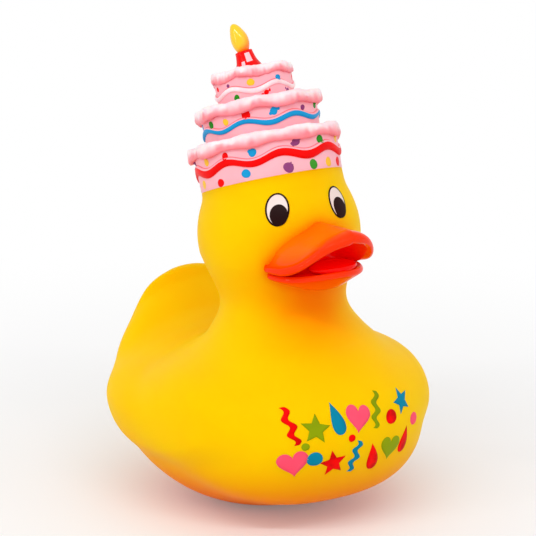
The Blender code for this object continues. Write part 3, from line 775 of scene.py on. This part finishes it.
def tierSpot(name, outline, index, tree, turn, level, rise, mark):
    # a thin spot of paint that follows the wall and piping of a tier
    tier = tierShapes[index]
    foot, most = tierFoot(index), tier["radius"] * mm + hatShape["taper"] / 2 + hatShape["piping"]
    rings = []
    for share, lift in ((1.0, -hatShape["dotSink"]), (1.0, rise), (0.7, rise), (0.4, rise), (0.05, rise)):
        ring = []
        for x, z in outline:
            angle = turn + x * share / (tier["radius"] * mm)
            heading = Vector((sin(angle), -cos(angle), 0.0))
            up = Vector((0.0, 0.0, foot + level + z * share))
            hit, normal, face, distance = tree.ray_cast(heading * 2 * most + up, -heading)
            reach = min(hypot(hit.x, hit.y), most) if hit else tier["radius"] * mm
            ring.append(heading * (reach + lift) + up)
        rings.append(ring)
    start = sum(rings[0], Vector()) / len(outline)
    end = sum(rings[-1], Vector()) / len(outline)
    points, faces, rows = skinOver(rings, start, end)
    paint, slotName = dotPaints[mark]
    return makePiece(name, points, faces, [finish[paint]], place=hatPlace)


def makeDots():
    trees = [tierTree(index) for index in range(len(tierShapes))]
    for row, (index, dots) in enumerate(dotRows):
        for k, (turn, level, radius, mark) in enumerate(dots):
            tierSpot(
                f"dot{row}n{k}", roundOutline(radius * mm, row * 17 + k), index, trees[index],
                radians(turn), level * mm, hatShape["dotRise"], mark,
            )
    for k, (index, turn, level, radius, mark) in enumerate(smears):
        tierSpot(
            f"smear{k}", roundOutline(radius * mm, k * 3, 0.18), index, trees[index],
            radians(turn), level * mm, hatShape["smearRise"], mark,
        )


makeDots()
print("cake made")


candleShape = {
    "foot": 6.4 * mm, "top": 4.1 * mm, "height": 4.5 * mm, "lean": radians(8.0), "segments": 96,
    "flameWidth": 4.25 * mm, "flameHeight": 6.9 * mm, "flameBend": 0.6 * mm, "flameSteps": 6,
    "flameSides": 48, "aside": 0.5 * mm,
    # share of the height, share of the width
    "flameProfile": [
        (0.0, 0.6), (0.08, 0.7), (0.24, 0.92), (0.4, 1.0), (0.56, 0.95), (0.76, 0.73), (0.88, 0.53), (0.96, 0.33),
        (0.995, 0.12),
    ],
    # pale pink patches on the red, their cause not known. Middle turn, half turn, lowest and highest level
    "paleSpots": [(-104.0, 17.0, 1.7, 3.9), (-140.0, 9.0, 0.5, 1.9), (60.0, 12.0, 1.0, 2.6)], "paleRows": 3,
}
candlePlace = hatPlace @ Matrix.Translation((-candleShape["aside"], 0.0, tierFoot(3)))
candlePlace = candlePlace @ Matrix.Rotation(-candleShape["lean"], 4, "Y")


def makeCandle():
    candle = candleShape
    edge = (candle["foot"] - candle["top"]) / 4
    profile = curveThrough([
        (candle["foot"] / 2 + 0.6 * mm, -0.5 * mm),
        (candle["foot"] / 2 + 0.2 * mm, 0.1 * mm),
        (candle["foot"] / 2 - 0.1 * mm, 0.7 * mm),
        (mixed(candle["foot"], candle["top"], 0.6) / 2, candle["height"] * 0.45),
        (candle["top"] / 2 + 0.1 * mm, candle["height"] - 1.5 * edge),
        (candle["top"] / 2 + 0.05 * mm, candle["height"] - 0.45 * edge),
        (candle["top"] / 2 - 0.1 * mm, candle["height"] - 0.1 * edge),
        (candle["top"] / 2 - 0.45 * edge, candle["height"]),
    ], 4)
    rings = []
    for radius, level in profile:
        rings.append([
            Vector((radius * cos(a), radius * sin(a), level))
            for a in (tau * k / candle["segments"] for k in range(candle["segments"]))
        ])
    foot, top = Vector((0.0, 0.0, profile[0][1])), Vector((0.0, 0.0, candle["height"]))
    points, faces, rows = skinOver(rings, foot, top)
    # faces on the pale spots and the lowest rows take the pale pink
    bands = []
    for face, row in zip(faces, rows):
        middle = sum((Vector(points[k]) for k in face), Vector()) / len(face)
        angle, level = degrees(atan2(middle.y, middle.x)), middle.z / mm
        paleSpots = any(abs(angle - a) < half and low < level < high for a, half, low, high in candle["paleSpots"])
        bands.append(1 if paleSpots or row < candle["paleRows"] else 0)
    makePiece(
        "candle", points, faces, [finish["candlePaint"], finish["palePink"]],
        faceFinish=bands, place=candlePlace,
    )


def makeFlame():
    candle = candleShape
    foot = candle["height"] - hatShape["overlap"] / 2
    tall = candle["flameHeight"] + hatShape["overlap"] / 2
    rings, shade = [], []
    for share, width in curveThrough(candle["flameProfile"], candle["flameSteps"]):
        radius = candle["flameWidth"] / 2 * max(width, 0.03)
        centre = Vector((-candle["flameBend"] * share ** 3, 0.0, foot + tall * share))
        ring = []
        for j in range(candle["flameSides"]):
            turn = tau * j / candle["flameSides"]
            ring.append(centre + Vector((radius * cos(turn), radius * sin(turn), 0.0)))
            # painted shade: browner on one side, lower down and at the foot
            shade.append(0.5 + 0.5 * cos(turn + 0.3) - 0.9 * share + 0.8 * exp(-((share / 0.18) ** 2)))
        rings.append(ring)
    tip = Vector((-candle["flameBend"], 0.0, foot + tall))
    points, faces, rows = skinOver(rings, Vector((0.0, 0.0, foot)), tip)
    makePiece(
        "flame", points, faces, [finish["flamePaint"]], place=candlePlace, shade=shade + [0.5, 0.0],
    )


makeCandle()
makeFlame()
print("candle made")


# confetti printed on the breast
printShape = {"rise": 0.03 * mm, "sink": 0.1 * mm, "longest": 0.7 * mm, "before": 0.1}
breastTree = BVHTree.FromPolygons(
    [vertex.co.copy() for vertex in duckBody.data.vertices],
    [tuple(polygon.vertices) for polygon in duckBody.data.polygons],
)


def starOutline(size):
    outline = []
    for k in range(10):
        reach = size * (1.0 if k % 2 == 0 else 0.46)
        outline.append((reach * sin(pi * k / 5), reach * cos(pi * k / 5)))
    return outline


def heartOutline(size):
    outline = []
    for k in range(40):
        a = tau * k / 40
        x = 16 * sin(a) ** 3
        z = 13 * cos(a) - 5 * cos(2 * a) - 2 * cos(3 * a) - cos(4 * a)
        outline.append((size * x / 16, size * (z + 2) / 15))
    return outline


def dropOutline(size):
    outline = []
    for k in range(36):
        a = tau * k / 36
        outline.append((0.62 * size * sin(a) * sin(a / 2) ** 1.3, size * cos(a)))
    return outline


def streamerOutline(size):
    # a long ribbon with several waves
    left, right = [], []
    for k in range(33):
        t = k / 32
        z = size * (2 * t - 1)
        x = 0.15 * size * sin(2.5 * tau * t)
        half = 0.2 * size * (0.7 + 0.3 * sin(pi * t))
        left.append((x - half, z))
        right.append((x + half, z))
    return left + right[::-1]


def printSpot(name, outline, x, z, tilt, paint):
    # a closed outline is filled, cut fine and laid on the breast along +Y
    work = bmesh.new()
    turned = cos(tilt), sin(tilt)
    verts = [
        work.verts.new((x + px * turned[0] - pz * turned[1], 0.0, z + px * turned[1] + pz * turned[0]))
        for px, pz in outline
    ]
    edges = [work.edges.new((verts[k], verts[(k + 1) % len(verts)])) for k in range(len(verts))]
    bmesh.ops.triangle_fill(work, edges=edges, use_beauty=True)
    for _ in range(2):
        long = [edge for edge in work.edges if edge.calc_length() > printShape["longest"]]
        if long:
            bmesh.ops.subdivide_edges(work, edges=long, cuts=1)
            bmesh.ops.triangulate(work, faces=work.faces)
    for vert in work.verts:
        start = Vector((vert.co.x, -printShape["before"], vert.co.z))
        hit, normal, face, distance = breastTree.ray_cast(start, Vector((0.0, 1.0, 0.0)))
        vert.co = hit + normal * printShape["rise"]
    solid = bmesh.ops.extrude_face_region(work, geom=work.faces[:])
    for item in solid["geom"]:
        if isinstance(item, bmesh.types.BMVert):
            item.co.y += printShape["sink"]
    mesh = bpy.data.meshes.new("fill")
    work.to_mesh(mesh)
    work.free()
    points = [vertex.co.copy() for vertex in mesh.vertices]
    faces = [tuple(polygon.vertices) for polygon in mesh.polygons]
    bpy.data.meshes.remove(mesh)
    return makePiece(name, points, faces, [paint])


# shape, x, z, size, tilt in degrees, colour
confetti = [
    ("streamer", -15.6, 29.4, 4.2, 10, "Red"), ("star", -10.2, 28.6, 3.5, -8, "Green"),
    ("drop", -4.8, 30.4, 3.7, 12, "Blue"), ("heart", 0.8, 29.6, 3.3, -10, "Pink"),
    ("streamer", 6.2, 30.6, 4.0, -16, "Green"), ("dot", 10.6, 28.2, 1.7, 0, "Red"),
    ("star", 15.2, 30.6, 3.0, 12, "Blue"),
    ("heart", -15.4, 20.4, 3.4, 12, "Pink"), ("dot", -10.8, 21.6, 1.8, 0, "Blue"),
    ("star", -6.2, 20.0, 3.4, 10, "Red"), ("streamer", -0.6, 20.8, 4.0, -14, "Blue"),
    ("drop", 4.6, 19.8, 3.6, 8, "Red"), ("heart", 9.8, 20.8, 3.1, -8, "Green"),
    ("drop", 14.8, 21.6, 3.3, -18, "Red"), ("dot", 19.0, 25.4, 1.5, 0, "Pink"),
    ("dot", -1.6, 25.6, 0.9, 0, "Red"), ("dot", -13.0, 24.8, 0.9, 0, "Green"),
]
outlines = {
    "star": starOutline, "heart": heartOutline, "drop": dropOutline, "streamer": streamerOutline,
    "dot": lambda size: roundOutline(size, size * 900.0, 0.04),
}
for number, (kind, x, z, size, tilt, paint) in enumerate(confetti):
    outline = outlines[kind](size * mm)
    printSpot(f"print{number}{kind.title()}", outline, x * mm, z * mm, radians(tilt), finish["print" + paint])
print("print made", len(confetti))


# painted shade in the vinyl's colour: warmer orange under the chin, under the wings and in the creases, where the
# vinyl sees itself, towards the base, on faces that look down and under the cake's edge
paintedShade = {
    "reach": 32 * mm, "rays": 20, "lift": 0.15 * mm, "met": 1.1, "soften": 8,
    # depth of the shade towards the base and on faces that look down
    "low": 0.9, "lowFrom": 28 * mm, "lowOver": 32 * mm, "down": 0.12,
    "neck": 0.55, "neckPlace": (0.0, -21.0 * mm, 55.0 * mm), "neckReach": 22 * mm,
    "hatEdge": 0.35, "hatEdgeDrop": 0.3 * mm, "hatEdgeReach": 0.8 * mm,
}


def warmShade(piece, others):
    points, faces = [], []
    for each in others:
        start = len(points)
        points += [vertex.co.copy() for vertex in each.data.vertices]
        faces += [tuple(start + k for k in polygon.vertices) for polygon in each.data.polygons]
    tree = BVHTree.FromPolygons(points, faces)
    spread, rays, reach = [], paintedShade["rays"], paintedShade["reach"]
    goldenTurn = 2.39996
    for k in range(rays):
        z = sqrt((k + 0.5) / rays)
        flat = sqrt(1.0 - z * z)
        spread.append(Vector((flat * cos(k * goldenTurn), flat * sin(k * goldenTurn), z)))
    values, under = [], Vector(paintedShade["neckPlace"])
    for vertex in piece.data.vertices:
        turn = vertex.normal.to_track_quat("Z", "Y")
        start = vertex.co + vertex.normal * paintedShade["lift"]
        met = 0.0
        for ray in spread:
            hit, normal, face, distance = tree.ray_cast(start, turn @ ray, reach)
            if hit is not None:
                met += 1.0 - distance / reach
        low = eased((paintedShade["lowFrom"] - vertex.co.z) / paintedShade["lowOver"]) * paintedShade["low"]
        low += max(-vertex.normal.z, 0.0) * paintedShade["down"]
        near = exp(-((vertex.co - under).length / paintedShade["neckReach"]) ** 2)
        neck = paintedShade["neck"] * near * max(-vertex.normal.y, 0.0)
        above = (hatBack @ vertex.co).z + paintedShade["hatEdgeDrop"]
        edge = paintedShade["hatEdge"] * exp(-(above / paintedShade["hatEdgeReach"]) ** 2)
        values.append(min(met / rays * paintedShade["met"] + low + neck + edge, 1.0))
    # the painted shade is spread softly over the skin
    for _ in range(paintedShade["soften"]):
        total, count = list(values), [1] * len(values)
        for edge in piece.data.edges:
            a, b = edge.vertices
            total[a] += values[b]
            total[b] += values[a]
            count[a] += 1
            count[b] += 1
        values = [amount / number for amount, number in zip(total, count)]
    layer = piece.data.attributes.new("shade", "FLOAT", "POINT")
    layer.data.foreach_set("value", values)


warmShade(duckBody, [duckBody, openBill, bpy.data.objects[tierShapes[0]["name"]]])
print("shade made")


studio = {
    "floorRadius": 3.0, "floorSides": 64, "floorColour": (0.8, 0.8, 0.8, 1.0), "floorLift": 0.14,
    # the paper turns into white backdrop between these distances
    "whiteFrom": 0.06, "whiteTo": 0.22, "worldLight": 0.78, "lampAim": (0.0, 0.0, 0.055),
    # azimuth, elevation, distance, width, height, power
    "lamps": {
        "keyLamp": (-36.0, 50.0, 0.9, 1.1, 0.045, 2.6), "sideLamp": (-85.0, 16.0, 0.9, 0.06, 0.7, 0.9),
        "fillLamp": (15.0, 20.0, 1.1, 0.7, 0.7, 0.7),
    },
}
cameraShape = {"azimuth": -31.0, "elevation": 16.0, "distance": 0.8, "aim": (0.0, 0.0, 0.0566), "frame": 0.129}
white = (1.0, 1.0, 1.0, 1.0)


def seenRays(tree):
    # 1 for what the camera, a reflection or clear plastic shows
    path = tree.nodes.new("ShaderNodeLightPath")
    seen = reckon(tree, "MAXIMUM", path.outputs["Is Camera Ray"], path.outputs["Is Glossy Ray"])
    return reckon(tree, "MAXIMUM", seen, path.outputs["Is Transmission Ray"])


def blended(tree, factor, low, high, target):
    blend = tree.nodes.new("ShaderNodeMixShader")
    for value, socket in zip((factor, low, high), blend.inputs):
        tree.links.new(value, socket)
    tree.links.new(blend.outputs["Shader"], tree.nodes[target].inputs["Surface"])


def makeFloor():
    sides, radius = studio["floorSides"], studio["floorRadius"]
    turns = [tau * k / sides for k in range(sides)]
    mesh = bpy.data.meshes.new("floor")
    mesh.from_pydata([(radius * cos(a), radius * sin(a), 0.0) for a in turns], [], [tuple(range(sides))])
    paper = bpy.data.materials.new("palePaper")
    paper.use_nodes = True
    tree = paper.node_tree
    far = tree.nodes.new("ShaderNodeVectorMath")
    far.operation = "LENGTH"
    tree.links.new(tree.nodes.new("ShaderNodeTexCoord").outputs["Object"], far.inputs[0])
    edge = rampValue(tree, far.outputs["Value"], studio["whiteFrom"], studio["whiteTo"])
    seen = seenRays(tree)
    shader = fill(tree, tree.nodes["Principled BSDF"], {
        "Base Color": studio["floorColour"], "Roughness": 0.9, "Specular IOR Level": 0.1,
        "Emission Color": white, "Emission Strength": reckon(tree, "MULTIPLY", seen, studio["floorLift"]),
    })
    backdrop = fill(tree, tree.nodes.new("ShaderNodeEmission"), {"Color": white, "Strength": 1.0})
    seenEdge = reckon(tree, "MULTIPLY", edge, seen)
    blended(tree, seenEdge, shader.outputs["BSDF"], backdrop.outputs["Emission"], "Material Output")
    mesh.materials.append(paper)
    addObject("floor", mesh)


def makeWorld():
    world = bpy.data.worlds.new("softStudio")
    bpy.context.scene.world = world
    world.use_nodes = True
    tree = world.node_tree
    light = fill(tree, tree.nodes["Background"], {"Color": white, "Strength": studio["worldLight"]})
    backdrop = fill(tree, tree.nodes.new("ShaderNodeBackground"), {"Color": white, "Strength": 1.0})
    blended(tree, seenRays(tree), light.outputs[0], backdrop.outputs[0], "World Output")


def placeToward(name, data, azimuth, elevation, distance, aim):
    # a lamp or camera that looks at the aim from this side
    a, e = radians(azimuth), radians(elevation)
    back = Vector((sin(a) * cos(e), -cos(a) * cos(e), sin(e)))
    thing = addObject(name, data)
    thing.location = Vector(aim) + back * distance
    thing.rotation_euler = back.to_track_quat("Z", "Y").to_euler()
    return thing


def makeLamps():
    for name, (azimuth, elevation, distance, width, height, power) in studio["lamps"].items():
        data = bpy.data.lights.new(name, "AREA")
        data.shape = "RECTANGLE"
        data.size = width
        data.size_y = height
        data.energy = power
        placeToward(name, data, azimuth, elevation, distance, studio["lampAim"])


def makeCamera():
    view = cameraShape
    data = bpy.data.cameras.new("camera")
    data.sensor_width = 36.0
    data.lens = data.sensor_width * view["distance"] / view["frame"]
    data.clip_end = 20.0
    bpy.context.scene.camera = placeToward(
        "camera", data, view["azimuth"], view["elevation"], view["distance"], view["aim"])


makeFloor()
makeWorld()
makeLamps()
makeCamera()
bpy.context.scene.view_settings.view_transform = "Standard"
print("stage made")
